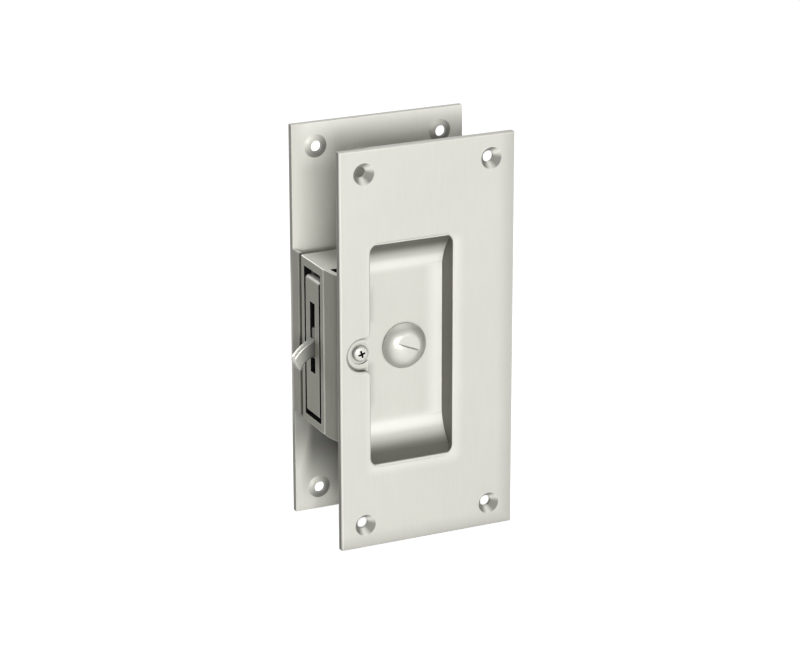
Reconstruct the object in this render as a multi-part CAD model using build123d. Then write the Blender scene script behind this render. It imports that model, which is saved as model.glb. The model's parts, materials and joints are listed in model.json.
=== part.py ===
from build123d import *
import math
import os

os.makedirs("parts", exist_ok=True)

# Pocket door lock, sizes in millimetres
# X runs along the door face away from its edge, Y runs into the door, Z is up
# The origin is on the front plate's door side, at the centre of its four screw holes

# Face plates and door
plate_width = 69.85
plate_height = 152.4
plate_thick = 3.0
plate_round = 0.6
door_thick = 40.0
screw_span_x = 50.8
screw_span_z = 134.6
wood_hole_r = 2.1
countersink_r = 4.1
countersink_depth = 2.7
dimple_height = 1.0
dimple_base_r = 4.9
dimple_top_r = 2.8

# Front finger cup, distances along X are from the door edge
cup_left = 12.0
cup_width = 33.3
cup_height = 85.4
cup_mid_z = -2.1
cup_depth = 10.0
cup_corner_r = 3.5
cup_wall = 2.0
cup_lip = 0.6
pocket_lip = 0.4
scoop_r = 20.0

# Rear finger cup, shallower and no taller than the case
rear_cup_margin = 4.0
rear_cup_depth = 6.5
rear_cup_wall = 1.5
rear_scoop_r = 14.0

# Screw pocket beside the cup
pocket_x = 9.0
pocket_z = -0.8
pocket_r = 6.5
pocket_depth = 2.7
pocket_blend_r = 2.2
pocket_backing = 2.2
seat_r = 4.2
seat_depth = 0.8
column_r = 4.6

# Fixing screws
screw_head_r = 3.1
screw_head_height = 2.2
screw_r = 2.0
screw_hole_r = 2.15
screw_grip = 4.6
recess_length = 3.4
recess_width = 0.9
recess_depth = 1.1

# Case between the plates
case_length = 48.0
case_height = 64.0
case_mid_z = -3.2
front_room = 11.8
rear_room = 7.0
case_wall = 2.2
edge_wall = 3.0
edge_chamfer = 0.8
cover_thick = 2.2
cover_gap = 0.15
frame_side = 3.3
frame_top = 3.3
frame_bottom = 2.9
web_gap = 0.25
web_thick = 2.3
web_inset = 2.8
web_bow = 0.75
rear_web_depth = 5.2
rear_web_thick = 1.4

# Edge pull in the window of the case
pull_side_gap = 1.4
pull_top_gap = 3.1
pull_bottom_gap = 1.3
pull_thick = 2.6
pull_round = 1.5
pull_slot_width = 4.4
pull_slot_top = 13.2
pull_slot_bottom = -14.2
pull_pivot_x = 4.2
pull_pivot_up = 6.0
pull_pad_gap = 0.4
pull_pad_half = 3.0
pull_pin_r = 1.25
lug_r = 2.6
lug_width = 2.6

# Hook bolt and its teeth
hook_pivot_x = 5.7
hook_pivot_z = -2.8
hook_pin_r = 2.0
hook_thick = 3.2
hook_reach = 15.1
hook_tip_angle = 197.7
hook_beak_angle = 222.6
hook_travel = 112.0
hook_face_gap = 0.4
hook_boss_r = 2.7
hook_side_gap = 0.35

# Drive between the turn and the hook
tooth_module = 1.6
hook_teeth = 12
gear_teeth = 18
pressure_angle = 20.0
addendum = 0.8
dedendum = 1.2
backlash = 0.5
gear_hub_r = 6.6
gear_disc_r = 8.6
journal_r = 4.5
bushing_wall = 1.5
bushing_flange = 0.8
bushing_flange_r = 7.6
detent_notch_r = 1.5
notch_offset = 0.4
stop_pin_r = 1.4
stop_pin_orbit = 10.2

# Turn knob, spindle and release
knob_r = 8.75
knob_rise = 5.0
knob_gap = 0.3
knob_ledge = 1.1
knob_ledge_angle = -22.0
shank_r = 5.5
shank_groove_r = 4.7
clip_r = 7.0
clip_thick = 0.7
spindle_side = 5.0
release_r = 7.5
release_rise = 3.4
coin_slot = 1.8
coin_depth = 2.0

# Small fits
run_fit = 0.06
slide_fit = 0.1

# Leaf springs and their screws
leaf_thick = 0.4
leaf_width = 3.8
leaf_seat_width = 5.0
leaf_pad = 2.6
leaf_seat_rise = 1.0
leaf_screw_r = 1.1
leaf_screw_length = 2.6
leaf_head = 1.0
leaf_head_r = 1.9
pull_leaf_root = 17.5
pull_leaf_lift = 3.6
detent_seat_depth = 3.2
detent_seat_up = 11.4
detent_clear = 0.35
detent_ramp = 1.6
detent_tail = 3.6

# Cover screws and their posts
post_r = 2.9
post_inset = 5.0
post_low_left = 24.5
post_high_left = 10.2
cover_screw_r = 1.2
cover_screw_reach = 6.5
cover_screw_spare = 0.5
cover_slot = 0.5
cover_slot_depth = 0.7

# Bosses and blind ends
boss_wall = 1.5
boss_rise = 2.6
pin_offset = 2.9
pin_slack = 0.1

# Derived positions
edge_x = -plate_width / 2
case_thick = door_thick - front_room - rear_room
lock_mid_y = front_room + case_thick / 2
case_front = lock_mid_y - case_thick / 2
case_back = lock_mid_y + case_thick / 2
case_top = case_mid_z + case_height / 2
case_bottom = case_mid_z - case_height / 2
window_width = case_thick - 2 * frame_side
window_top = case_top - frame_top
window_bottom = case_bottom + frame_bottom
pull_width = window_width - 2 * pull_side_gap
pull_top = window_top - pull_top_gap
pull_bottom = window_bottom + pull_bottom_gap
pull_pivot_z = pull_bottom + pull_pivot_up
rear_cup_height = case_height - 2 * rear_cup_margin
inner_front = case_front + case_wall
inner_back = case_back - cover_thick
hook_x = edge_x + hook_pivot_x
hook_y0 = lock_mid_y - hook_thick / 2
hook_y1 = lock_mid_y + hook_thick / 2
centre_distance = tooth_module * (hook_teeth + gear_teeth) / 2
turn_x = hook_x + centre_distance
turn_z = hook_pivot_z
turn_travel = hook_travel * hook_teeth / gear_teeth
pull_x = edge_x + pull_pivot_x
screw_x = edge_x + pocket_x
cup_x0 = edge_x + cup_left
cup_x1 = cup_x0 + cup_width
cup_floor = cup_depth - plate_thick
rear_floor = door_thick + plate_thick - rear_cup_depth
hook_root_r = tooth_module * (hook_teeth / 2 - dedendum)


def box_of(x0, x1, y0, y1, z0, z1):
    solid = Box(x1 - x0, y1 - y0, z1 - z0)
    return Pos((x0 + x1) / 2, (y0 + y1) / 2, (z0 + z1) / 2) * solid


def rod(x, z, radius, y0, y1):
    solid = Cylinder(radius, y1 - y0)
    return Pos(x, (y0 + y1) / 2, z) * (Rot(90, 0, 0) * solid)


def taper(x, z, radius0, radius1, y0, y1):
    solid = Cone(radius1, radius0, y1 - y0)
    return Pos(x, (y0 + y1) / 2, z) * (Rot(90, 0, 0) * solid)


def face_plane(y):
    return Plane(origin=(0, y, 0), x_dir=(1, 0, 0), z_dir=(0, -1, 0))


def slab(sketch, y0, y1):
    return extrude(face_plane(y0) * sketch, amount=y1 - y0, dir=(0, 1, 0))


def outline(points):
    return make_face(Polyline(*points, close=True))


def turned(x, z, points):
    profile = make_face(Plane.XY * Polyline(*points, close=True))
    solid = revolve(profile, Axis.Y, 360)
    return Pos(x, 0, z) * solid


def around(x, z, radius, angle):
    turn = math.radians(angle)
    return (x + radius * math.cos(turn), z + radius * math.sin(turn))


def save(shape, name):
    shape.label = name
    export_step(shape, "parts/" + name + ".step")


# Scooped cup: a rounded outline along Y cut to a profile with curved ends
def scoop(x0, x1, z0, z1, corner, mouth_y, floor_y, radius):
    middle = Pos((x0 + x1) / 2, (z0 + z1) / 2)
    window = slab(middle * RectangleRounded(x1 - x0, z1 - z0, corner), min(mouth_y, floor_y), max(mouth_y, floor_y))
    depth = abs(floor_y - mouth_y)
    way = 1 if floor_y > mouth_y else -1
    run = math.sqrt(radius ** 2 - (radius - depth) ** 2)
    half = math.asin(run / radius) / 2
    lift = radius - radius * math.cos(half)
    side = radius * math.sin(half)
    top = Edge.make_three_point_arc(
        (mouth_y, z1), (floor_y - way * lift, z1 - run + side), (floor_y, z1 - run))
    floor = Edge.make_line((floor_y, z1 - run), (floor_y, z0 + run))
    low = Edge.make_three_point_arc(
        (floor_y, z0 + run), (floor_y - way * lift, z0 + run - side), (mouth_y, z0))
    mouth = Edge.make_line((mouth_y, z0), (mouth_y, z1))
    profile = make_face([top, floor, low, mouth])
    swept = extrude(Plane(origin=(x0 - 1, 0, 0), x_dir=(0, 1, 0), z_dir=(1, 0, 0)) * profile, amount=x1 - x0 + 2)
    return window & swept


# Countersunk screw hole, outer is the plate's outside and inner its door side
def wood_holes(outer, inner):
    way = 1 if inner > outer else -1
    cuts = []
    for x in (-screw_span_x / 2, screw_span_x / 2):
        for z in (-screw_span_z / 2, screw_span_z / 2):
            low = min(outer, inner) - 2
            high = max(outer, inner) + 2
            cuts.append(rod(x, z, wood_hole_r, low, high))
            if way > 0:
                cuts.append(taper(x, z, countersink_r, wood_hole_r, outer, outer + countersink_depth))
            else:
                cuts.append(taper(x, z, wood_hole_r, countersink_r, outer - countersink_depth, outer))
    return cuts


def dimples(inner, way):
    bumps = []
    for x in (-screw_span_x / 2, screw_span_x / 2):
        for z in (-screw_span_z / 2, screw_span_z / 2):
            if way > 0:
                bumps.append(taper(x, z, dimple_base_r, dimple_top_r, inner, inner + dimple_height))
            else:
                bumps.append(taper(x, z, dimple_top_r, dimple_base_r, inner - dimple_height, inner))
    return bumps


# Outline of the screw pocket, blended into the side of the cup
def pocket_outline():
    circle = Pos(screw_x, pocket_z) * Circle(pocket_r)
    strip = Pos(cup_x0 + pocket_r, pocket_z) * Rectangle(2 * pocket_r, 6 * pocket_r)
    joined = circle + strip
    half = math.sqrt(pocket_r ** 2 - (cup_x0 - screw_x) ** 2)
    corners = []
    for vertex in joined.vertices():
        off = abs(abs(vertex.Y - pocket_z) - half)
        if abs(vertex.X - cup_x0) < 0.01 and off < 0.01:
            corners.append(vertex)
    return fillet(corners, pocket_blend_r)


pocket_shape = pocket_outline()


# Bevelled mouth around the cup and its pocket, way points into the plate
def flare(z0, z1, face, way):
    mouth = Pos((cup_x0 + cup_x1) / 2, (z0 + z1) / 2) * RectangleRounded(cup_x1 - cup_x0, z1 - z0, cup_corner_r)
    nook = pocket_shape & cup_window(z0 + cup_corner_r, z1 - cup_corner_r)
    cut = extrude(face_plane(face) * offset(mouth, amount=cup_lip), amount=cup_lip, dir=(0, way, 0), taper=45)
    cut += extrude(face_plane(face) * offset(nook, amount=pocket_lip), amount=pocket_lip, dir=(0, way, 0), taper=45)
    return cut


# Front plate: face plate, cup, screw pocket and curved edge web in one casting
def make_front_plate():
    plate = box_of(-plate_width / 2, plate_width / 2, -plate_thick, 0, -plate_height / 2, plate_height / 2)
    plate = fillet(plate.faces().sort_by(Axis.Y)[0].edges(), plate_round)
    for bump in dimples(0, 1):
        plate += bump
    cup_z0 = cup_mid_z - cup_height / 2
    cup_z1 = cup_mid_z + cup_height / 2
    plate += scoop(cup_x0 - cup_wall, cup_x1 + cup_wall, cup_z0 - cup_wall, cup_z1 + cup_wall,
                   cup_corner_r + cup_wall, -plate_thick / 2, cup_floor + cup_wall, scoop_r + cup_wall)
    web = Plane.XY * make_face([
        Edge.make_three_point_arc((edge_x, case_front - web_gap), (edge_x + web_bow, case_front / 2),
                                  (edge_x + web_inset, -0.2)),
        Edge.make_line((edge_x + web_inset, -0.2), (edge_x + web_inset + web_thick, -0.2)),
        Edge.make_three_point_arc((edge_x + web_inset + web_thick, -0.2), (edge_x + web_bow + web_thick, case_front / 2),
                                  (edge_x + web_thick, case_front - web_gap)),
        Edge.make_line((edge_x + web_thick, case_front - web_gap), (edge_x, case_front - web_gap))])
    plate += Pos(0, 0, case_bottom) * extrude(web, amount=case_height)
    plate += rod(screw_x, pocket_z, pocket_r + 1.6, -0.2, pocket_backing)
    plate += rod(screw_x, pocket_z, column_r, -0.2, case_front)
    cup = scoop(cup_x0, cup_x1, cup_z0, cup_z1, cup_corner_r, -plate_thick, cup_floor, scoop_r)
    plate -= cup
    plate -= slab(pocket_shape & cup_window(cup_z0, cup_z1), -plate_thick - 1, pocket_depth - plate_thick)
    plate -= rod(screw_x, pocket_z, seat_r, -plate_thick, pocket_depth - plate_thick + seat_depth)
    plate -= rod(screw_x, pocket_z, screw_hole_r, -plate_thick, case_front + 1)
    plate -= rod(turn_x, turn_z, shank_r + slide_fit, 0, cup_floor + cup_wall + 1)
    for cut in wood_holes(-plate_thick, 0):
        plate -= cut
    return plate - flare(cup_z0, cup_z1, -plate_thick, 1)


# Area in which the pocket outline may cut: left of the cup and just inside it
def cup_window(z0, z1):
    left = screw_x - 2 * pocket_r
    right = cup_x0 + 2 * pocket_r
    return Pos((left + right) / 2, (z0 + z1) / 2) * Rectangle(right - left, z1 - z0)


# Rear plate: face plate, shallow cup, screw pocket and short edge web
def make_rear_plate():
    outer = door_thick + plate_thick
    plate = box_of(-plate_width / 2, plate_width / 2, door_thick, outer, -plate_height / 2, plate_height / 2)
    plate = fillet(plate.faces().sort_by(Axis.Y)[-1].edges(), plate_round)
    for bump in dimples(door_thick, -1):
        plate += bump
    cup_z0 = case_mid_z - rear_cup_height / 2
    cup_z1 = case_mid_z + rear_cup_height / 2
    wall = rear_cup_wall
    plate += scoop(cup_x0 - wall, cup_x1 + wall, cup_z0 - wall, cup_z1 + wall, cup_corner_r + wall,
                   outer - plate_thick / 2, rear_floor - wall, rear_scoop_r + wall)
    plate += box_of(edge_x, edge_x + rear_web_thick, door_thick - rear_web_depth, door_thick + 0.2,
                    case_bottom, case_top)
    plate += rod(screw_x, pocket_z, pocket_r + 1.6, door_thick - pocket_backing, door_thick + 0.2)
    plate += rod(screw_x, pocket_z, column_r, case_back, door_thick + 0.2)
    cup = scoop(cup_x0, cup_x1, cup_z0, cup_z1, cup_corner_r, outer, rear_floor, rear_scoop_r)
    plate -= cup
    plate -= slab(pocket_shape & cup_window(cup_z0, cup_z1), outer - pocket_depth, outer + 1)
    plate -= rod(screw_x, pocket_z, seat_r, outer - pocket_depth - seat_depth, outer)
    plate -= rod(screw_x, pocket_z, screw_hole_r, case_back - 1, outer)
    plate -= rod(turn_x, turn_z, shank_r + slide_fit, rear_floor - wall - 1, door_thick)
    for cut in wood_holes(outer, door_thick):
        plate -= cut
    return plate - flare(cup_z0, cup_z1, outer, -1)


# Posts for the cover screws, inside the corners of the case
post_right = edge_x + case_length - post_inset
post_low = case_bottom + post_inset
post_high = case_top - post_inset
post_centres = [(edge_x + post_low_left, post_low), (edge_x + post_high_left, post_high)]
post_centres += [(post_right, post_low), (post_right, post_high)]
pin_start = inner_front + pin_offset
pin_end = inner_back - pin_offset

# Leaf spring roots on the case
pull_leaf_x = edge_x + pull_leaf_root
pull_leaf_z = case_bottom + case_wall + leaf_seat_rise
detent_leaf_z = case_bottom + detent_seat_up
detent_seat_x = edge_x + case_length - case_wall - detent_seat_depth


# Case: tray open to the rear, with the framed window in the door edge
def make_case():
    case = box_of(edge_x, edge_x + case_length, case_front, case_back, case_bottom, case_top)
    rim = [e for e in case.edges().filter_by(Axis.Z) if e.center().X < edge_x + 1]
    case = chamfer(rim, edge_chamfer)
    case -= box_of(edge_x + edge_wall, edge_x + case_length - case_wall, inner_front, case_back + 1,
                   case_bottom + case_wall, case_top - case_wall)
    case -= box_of(edge_x - 1, edge_x + edge_wall + 1, lock_mid_y - window_width / 2, lock_mid_y + window_width / 2,
                   window_bottom, window_top)
    deep = inner_front - 0.2
    solids = [rod(x, z, post_r, deep, inner_back) for x, z in post_centres]
    screw_boss = Pos(screw_x, pocket_z) * Circle(screw_hole_r + boss_wall)
    hook_boss = Pos(hook_x, hook_pivot_z) * Circle(hook_boss_r)
    solids.append(slab(screw_boss + hook_boss, deep, inner_front + boss_rise))
    solids.append(slab(hook_boss, inner_front + boss_rise / 2, hook_y0 - hook_side_gap))
    pad_x0 = edge_x + edge_wall - 0.2
    pad_x1 = pull_x + lug_r
    pad_y0 = lock_mid_y - pull_width / 2 - pull_pad_gap
    pad_y1 = lock_mid_y + pull_width / 2 + pull_pad_gap
    solids.append(box_of(pad_x0, pad_x1, deep, pad_y0, pull_pivot_z - pull_pad_half,
                         pull_pivot_z + pull_pad_half))
    solids.append(box_of(pad_x0, pad_x1, pad_y1, inner_back, pull_pivot_z - pull_pad_half,
                         pull_pivot_z + pull_pad_half))
    leaf_y0 = lock_mid_y - leaf_seat_width / 2
    leaf_y1 = lock_mid_y + leaf_seat_width / 2
    solids.append(box_of(pull_leaf_x - leaf_pad, pull_leaf_x + leaf_pad, leaf_y0, leaf_y1,
                         case_bottom + case_wall / 2, pull_leaf_z))
    solids.append(box_of(detent_seat_x, edge_x + case_length - case_wall / 2, leaf_y0, leaf_y1,
                         detent_leaf_z - leaf_pad, detent_leaf_z + leaf_pad))
    case = case + solids
    case -= rod(hook_x, hook_pivot_z, hook_pin_r, pin_start - pin_slack, case_back)
    case -= rod(pull_x, pull_pivot_z, pull_pin_r, case_front + 1, inner_back + 1)
    case -= rod(screw_x, pocket_z, screw_r + run_fit, case_front - 1, inner_front + boss_rise + 1)
    case -= rod(turn_x, turn_z, journal_r + bushing_wall, case_front - 1, inner_front + 1)
    for x, z in post_centres:
        case -= rod(x, z, cover_screw_r, inner_back - cover_screw_reach - cover_screw_spare, inner_back + 1)
    for angle in stop_angles:
        x, z = around(turn_x, turn_z, stop_pin_orbit, angle)
        case -= rod(x, z, stop_pin_r, case_front + 0.6, inner_back)
    reach = leaf_screw_length - leaf_thick
    case -= Pos(pull_leaf_x, lock_mid_y, pull_leaf_z - reach / 2) * Cylinder(leaf_screw_r, reach)
    case -= Pos(detent_seat_x + reach / 2, lock_mid_y, detent_leaf_z) * (Rot(0, 90, 0) * Cylinder(leaf_screw_r, reach))
    return case


# Cover: plate set into the rear of the case, with bosses for hook pin and screw
def make_cover():
    cover = box_of(edge_x + edge_wall + cover_gap, edge_x + case_length - case_wall - cover_gap, inner_back, case_back,
                   case_bottom + case_wall + cover_gap, case_top - case_wall - cover_gap)
    cover += rod(hook_x, hook_pivot_z, hook_boss_r, hook_y1 + hook_side_gap, inner_back + 0.2)
    cover += rod(screw_x, pocket_z, screw_hole_r + boss_wall, inner_back - boss_rise, inner_back + 0.2)
    cover -= rod(hook_x, hook_pivot_z, hook_pin_r, case_front, pin_end + pin_slack)
    cover -= rod(screw_x, pocket_z, screw_r + run_fit, inner_back - boss_rise - 1, case_back + 1)
    cover -= rod(turn_x, turn_z, journal_r + bushing_wall, inner_back - 1, case_back + 1)
    for x, z in post_centres:
        cover -= rod(x, z, cover_screw_r, inner_back - 1, case_back + 1)
        cover -= taper(x, z, cover_screw_r, cover_screw_r * 2, case_back - cover_screw_r, case_back)
    return cover


# Countersunk cover screws, one group
def make_cover_screws():
    screws = []
    for x, z in post_centres:
        screw = rod(x, z, cover_screw_r, inner_back - cover_screw_reach, case_back - cover_screw_r)
        screw += taper(x, z, cover_screw_r, cover_screw_r * 2, case_back - cover_screw_r, case_back)
        screw -= box_of(x - 3 * cover_screw_r, x + 3 * cover_screw_r, case_back - cover_slot_depth, case_back + 1,
                        z - cover_slot / 2, z + cover_slot / 2)
        screws.append(screw)
    return Compound(children=screws)


# Pan-head fixing screw with a cross recess, seat is the face under its head
def fixing_screw(seat, way, end):
    head = seat - way * screw_head_height
    crown = [(0, head), (screw_head_r * 0.55, head), (screw_head_r * 0.86, head + way * 0.45),
             (screw_head_r, head + way * 1.1), (screw_head_r, seat), (screw_r, seat), (screw_r, end), (0, end)]
    screw = turned(screw_x, pocket_z, crown)
    y0 = min(head - way, head + way * recess_depth)
    y1 = max(head - way, head + way * recess_depth)
    half = recess_length / 2
    thin = recess_width / 2
    screw -= box_of(screw_x - half, screw_x + half, y0, y1, pocket_z - thin, pocket_z + thin)
    screw -= box_of(screw_x - thin, screw_x + thin, y0, y1, pocket_z - half, pocket_z + half)
    return screw


# Half width of a tooth, as an angle at a radius
def tooth_half(teeth, radius):
    pitch_r = tooth_module * teeth / 2
    angle = math.radians(pressure_angle)
    base_r = pitch_r * math.cos(angle)
    half = (math.pi * tooth_module / 2 - backlash / 2) / (2 * pitch_r)
    here = math.acos(min(1.0, base_r / radius))
    return half + math.tan(angle) - angle - math.tan(here) + here


def tooth(teeth, x, z, centre):
    pitch_r = tooth_module * teeth / 2
    tip_r = pitch_r + addendum * tooth_module
    root_r = pitch_r - dedendum * tooth_module
    low_r = max(root_r, pitch_r * math.cos(math.radians(pressure_angle)) + 0.02)
    radii = [(root_r - 1.0, low_r), (low_r, low_r), (pitch_r, pitch_r), ((pitch_r + tip_r) / 2, (pitch_r + tip_r) / 2), (tip_r, tip_r)]
    right = [around(x, z, r, centre - math.degrees(tooth_half(teeth, at))) for r, at in radii]
    left = [around(x, z, r, centre + math.degrees(tooth_half(teeth, at))) for r, at in reversed(radii)]
    return outline(right + left)


hook_pitch = 360.0 / hook_teeth
gear_pitch = 360.0 / gear_teeth
hook_tooth_angles = [hook_travel / 2 + hook_pitch * k for k in (-1.5, -0.5, 0.5, 1.5)]
gear_tooth_angles = [180.0 - (hook_travel / 2 + hook_pitch * k) * hook_teeth / gear_teeth for k in (-2, -1, 0, 1, 2)]
gear_mid_angle = gear_tooth_angles[2]
gear_half_span = 2.5 * gear_pitch
stop_margin = 1.5
stop_reach = math.degrees(math.asin(stop_pin_r / stop_pin_orbit)) + stop_margin
stop_angles = [gear_mid_angle - gear_half_span - stop_reach, gear_mid_angle + gear_half_span + turn_travel + stop_reach]


# Hook bolt: hub with two flats, hooked arm and a run of teeth
def make_hook():
    hub = Pos(hook_x, hook_pivot_z) * Circle(hook_root_r)
    flat = hook_pivot_x - hook_face_gap
    for angle in (180.0, 180.0 + hook_travel):
        cx, cz = around(hook_x, hook_pivot_z, flat + 10, angle)
        hub -= Pos(cx, cz) * (Rot(0, 0, angle) * Rectangle(20, 40))
    tip = around(hook_x, hook_pivot_z, hook_reach, hook_tip_angle)
    end = around(hook_x, hook_pivot_z, hook_reach, (hook_tip_angle + hook_beak_angle) / 2)
    beak = around(hook_x, hook_pivot_z, hook_reach, hook_beak_angle)
    root = (hook_x - 1.0, hook_pivot_z + 2.4)
    shoulder = (edge_x + hook_face_gap, hook_pivot_z + 2.3)
    heel = (edge_x + hook_face_gap + 0.6, hook_pivot_z - 5.0)
    inner = (hook_x - 1.0, hook_pivot_z - 4.6)
    back = around(hook_x, hook_pivot_z, hook_reach * 0.69, 193.0 - 10.5)
    throat = around(hook_x, hook_pivot_z, hook_reach * 0.735, 215.5)
    arm = make_face([
        Edge.make_line(root, shoulder),
        Edge.make_three_point_arc(shoulder, back, tip),
        Edge.make_three_point_arc(tip, end, beak),
        Edge.make_three_point_arc(beak, throat, heel),
        Edge.make_line(heel, inner),
        Edge.make_line(inner, root)])
    shape = hub + arm
    for angle in hook_tooth_angles:
        shape += tooth(hook_teeth, hook_x, hook_pivot_z, angle)
    shape -= Pos(hook_x, hook_pivot_z) * Circle(hook_pin_r + run_fit)
    return slab(shape, hook_y0, hook_y1)


# Drive gear: toothed sector, detent disc, hub and two journals with a square bore
def make_gear():
    root_r = tooth_module * (gear_teeth / 2 - dedendum)
    wedge = [(turn_x, turn_z)]
    for k in range(11):
        wedge.append(around(turn_x, turn_z, root_r, gear_mid_angle - gear_half_span + k * gear_half_span / 5))
    sector = outline(wedge)
    for angle in gear_tooth_angles:
        sector += tooth(gear_teeth, turn_x, turn_z, angle)
    sector += Pos(turn_x, turn_z) * Circle(gear_disc_r)
    for angle in (0.0, -turn_travel):
        cx, cz = around(turn_x, turn_z, gear_disc_r + notch_offset, angle)
        sector -= Pos(cx, cz) * Circle(detent_notch_r)
    gear = slab(sector, hook_y0, hook_y1)
    thrust = bushing_flange + 0.2
    gear += rod(turn_x, turn_z, gear_hub_r, inner_front + thrust, inner_back - thrust)
    gear += rod(turn_x, turn_z, journal_r, case_front + 0.1, case_back - 0.1)
    bore = spindle_side / 2 + 0.05
    gear -= box_of(turn_x - bore, turn_x + bore, case_front - 1, case_back + 1, turn_z - bore, turn_z + bore)
    return gear


def bushing(wall_out, wall_in, way):
    y0 = min(wall_out, wall_in)
    y1 = max(wall_out, wall_in)
    sleeve = rod(turn_x, turn_z, journal_r + bushing_wall, y0, y1)
    flange0 = min(wall_in, wall_in + way * bushing_flange)
    flange1 = max(wall_in, wall_in + way * bushing_flange)
    sleeve += rod(turn_x, turn_z, bushing_flange_r, flange0, flange1)
    sleeve -= rod(turn_x, turn_z, journal_r + run_fit, y0 - 2, y1 + 2)
    return sleeve


# Domed head on a shank with a clip groove and a square socket
def domed(radius, rise, floor, way, shank_end, groove0, groove1):
    base = floor - way * knob_gap
    apex = base - way * rise
    sphere = (radius ** 2 + (rise - 0.8) ** 2) / (2 * (rise - 0.8))
    points = [(0, apex)]
    span = math.asin(radius / sphere)
    for k in range(1, 9):
        angle = span * k / 8
        points.append((sphere * math.sin(angle), apex + way * sphere * (1 - math.cos(angle))))
    points += [(radius, base), (shank_r, base), (shank_r, groove0), (shank_groove_r, groove0)]
    points += [(shank_groove_r, groove1), (shank_r, groove1), (shank_r, shank_end), (0, shank_end)]
    solid = turned(turn_x, turn_z, points)
    bore = spindle_side / 2 + 0.05
    depth = apex + way * (rise - 0.6)
    y0 = min(depth, shank_end)
    y1 = max(depth, shank_end)
    solid -= box_of(turn_x - bore, turn_x + bore, y0, y1, turn_z - bore, turn_z + bore)
    return solid, apex


knob_groove0 = cup_floor + cup_wall + 0.35
knob_groove1 = knob_groove0 + clip_thick + 0.1
knob_end = knob_groove1 + 1.0
release_groove0 = rear_floor - rear_cup_wall - 0.35
release_groove1 = release_groove0 - clip_thick - 0.1
release_end = release_groove1 - 0.3


def make_knob():
    knob, apex = domed(knob_r, knob_rise, cup_floor, 1, knob_end, knob_groove0, knob_groove1)
    ledge = box_of(-2 * knob_r, 2 * knob_r, apex - 1, apex + knob_ledge, 0.4, 2 * knob_r)
    knob -= Pos(turn_x, 0, turn_z) * (Rot(0, -knob_ledge_angle, 0) * ledge)
    return knob


def make_release():
    button, apex = domed(release_r, release_rise, rear_floor, -1, release_end, release_groove0, release_groove1)
    half = coin_slot / 2
    button -= box_of(turn_x - 2 * release_r, turn_x + 2 * release_r, apex - coin_depth, apex + 1, turn_z - half, turn_z + half)
    return button


def clip(y):
    ring = rod(turn_x, turn_z, clip_r, y, y + clip_thick)
    ring -= rod(turn_x, turn_z, shank_groove_r + 0.02, y - 1, y + clip_thick + 1)
    mouth = shank_groove_r * 0.8
    ring -= box_of(turn_x - mouth, turn_x + mouth, y - 1, y + clip_thick + 1, turn_z - 2 * clip_r, turn_z)
    return ring


# Edge pull: slotted plate with two lugs on its pivot
def make_pull():
    y0 = lock_mid_y - pull_width / 2
    y1 = lock_mid_y + pull_width / 2
    pull = box_of(edge_x, edge_x + pull_thick, y0, y1, pull_bottom, pull_top)
    ends = [e for e in pull.edges().filter_by(Axis.Y) if e.center().X < edge_x + 0.1]
    pull = fillet(ends, pull_round)
    for low in (y0, y1 - lug_width):
        pull += rod(pull_x, pull_pivot_z, lug_r, low, low + lug_width)
        pull += box_of(edge_x + pull_thick - 0.3, pull_x, low, low + lug_width, pull_pivot_z - lug_r, pull_pivot_z + lug_r)
    pull -= box_of(edge_x - 1, edge_x + pull_thick + 1, lock_mid_y - pull_slot_width / 2, lock_mid_y + pull_slot_width / 2,
                   pull_slot_bottom, pull_slot_top)
    pull -= rod(pull_x, pull_pivot_z, pull_pin_r + run_fit, y0 - 1, y1 + 1)
    pull -= rod(pull_x, pull_pivot_z, pull_pin_r + 0.5, y0 + lug_width, y1 - lug_width)
    return pull


# Leaf springs: bent strips
def strip(points):
    band = trace_band(points, leaf_thick)
    return slab(band, lock_mid_y - leaf_width / 2, lock_mid_y + leaf_width / 2)


def trace_band(points, thick):
    left = []
    right = []
    count = len(points)
    for k in range(count):
        ax, az = points[max(k - 1, 0)]
        bx, bz = points[min(k + 1, count - 1)]
        length = math.hypot(bx - ax, bz - az)
        nx = -(bz - az) / length
        nz = (bx - ax) / length
        x, z = points[k]
        left.append((x + nx * thick / 2, z + nz * thick / 2))
        right.append((x - nx * thick / 2, z - nz * thick / 2))
    return outline(left + right[::-1])


def make_pull_spring():
    z = pull_leaf_z + leaf_thick / 2
    end_x = edge_x + pull_thick + leaf_thick
    bow = pull_leaf_lift
    spring = strip([(pull_leaf_x + leaf_pad, z), (pull_leaf_x - leaf_pad, z), (end_x + 0.9 * bow, z + 0.17 * bow),
                    (end_x + 0.17 * bow, z + 0.4 * bow), (end_x, z + 0.72 * bow), (end_x + 0.14 * bow, z + bow)])
    return spring - (Pos(pull_leaf_x, lock_mid_y, z) * Cylinder(leaf_screw_r, 4 * leaf_thick))


def make_detent_spring():
    x = detent_seat_x - leaf_thick / 2
    near = turn_x + gear_disc_r + leaf_thick / 2 + 2 * detent_clear
    tip = turn_x + gear_disc_r + notch_offset - detent_notch_r + leaf_thick / 2 + detent_clear
    spring = strip([(x, detent_leaf_z - leaf_pad), (x, detent_leaf_z + leaf_pad), (near + detent_clear, turn_z - detent_tail),
                    (near, turn_z - detent_ramp), (tip, turn_z - 0.6 * leaf_thick), (tip, turn_z + 0.6 * leaf_thick),
                    (near, turn_z + detent_ramp), (near + detent_clear, turn_z + detent_tail)])
    return spring - (Pos(x, lock_mid_y, detent_leaf_z) * (Rot(0, 90, 0) * Cylinder(leaf_screw_r, 4 * leaf_thick)))


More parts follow.
